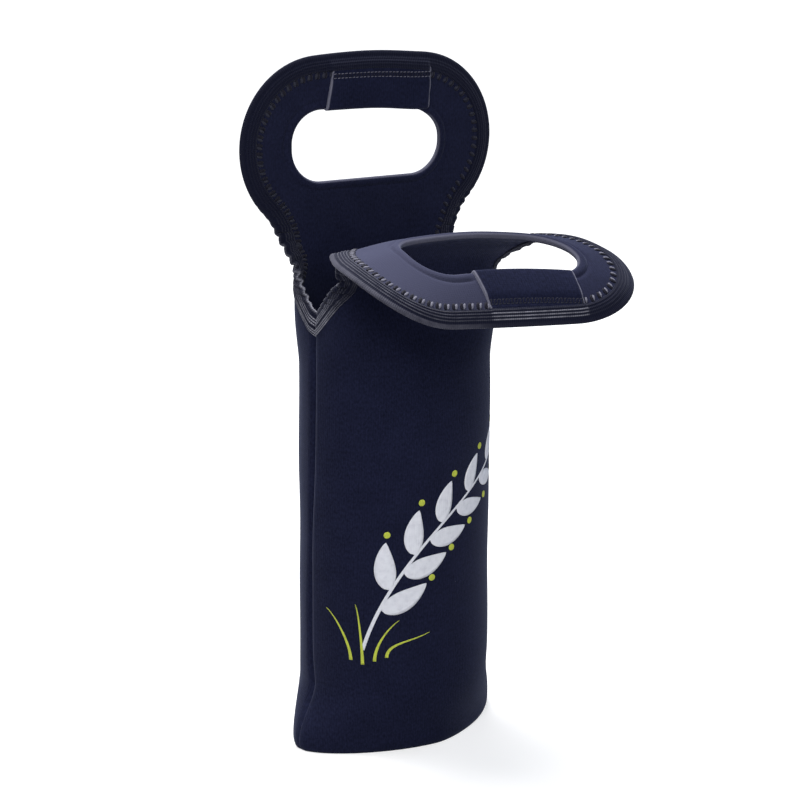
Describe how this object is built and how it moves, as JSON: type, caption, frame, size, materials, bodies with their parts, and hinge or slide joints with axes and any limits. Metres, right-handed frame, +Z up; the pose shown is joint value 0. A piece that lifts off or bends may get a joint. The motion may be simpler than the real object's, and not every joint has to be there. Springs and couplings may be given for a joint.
{
  "type": "bottle carrier",
  "caption": "Soft cloth sleeve that carries a bottle upright, with a V-cut mouth, a standing handle loop and a fallen one with hand holes.",
  "frame": {"origin": "on the floor under the middle of the base", "axes": "+Z up, front panel and fallen handle towards -Y, +X to the right seen from the front"},
  "size_m": [0.152, 0.1542, 0.353],
  "materials": {
    "panel_cloth": "matt foam-backed knit, navy black",
    "grip_cloth": "matt foam-backed knit with pale cut ends",
    "edge_tape": "ribbed elastic tape, navy black",
    "thread": "glossy textured thread, blue grey",
    "seam_edge": "cut edges of foam-backed knit"
  },
  "bodies": {
    "bag": {"front_panel": "panel_cloth", "back_panel": "panel_cloth", "base_panel": "panel_cloth", "base_seam_allowance": "seam_edge", "base_seam_thread": "thread", "left_seam_allowance": "seam_edge", "left_seam_thread": "thread", "right_seam_allowance": "seam_edge", "right_seam_thread": "thread", "front_mouth_binding_left": "edge_tape", "front_mouth_binding_right": "edge_tape", "front_mouth_thread": "thread", "back_mouth_binding_left": "edge_tape", "back_mouth_binding_right": "edge_tape", "back_mouth_thread": "thread"},
    "front_handle": {"front_handle_loop": "panel_cloth", "front_grip_tongue": "grip_cloth", "front_grip_stitch": "thread", "front_handle_binding": "edge_tape", "front_binding_thread": "thread"},
    "back_handle": {"back_handle_loop": "panel_cloth", "back_grip_tongue": "grip_cloth", "back_grip_stitch": "thread", "back_handle_binding": "edge_tape", "back_binding_thread": "thread"}
  },
  "joints": [
    {"name": "front_handle_fold", "type": "hinge", "parent": "bag", "child": "front_handle", "pos_m": [0, -0.0315, 0.249], "axis": [1, 0, 0], "range_deg": [-100, 50]},
    {"name": "back_handle_fold", "type": "hinge", "parent": "bag", "child": "back_handle", "pos_m": [0, 0.0315, 0.249], "axis": [1, 0, 0], "range_deg": [-90, 15]}
  ]
}
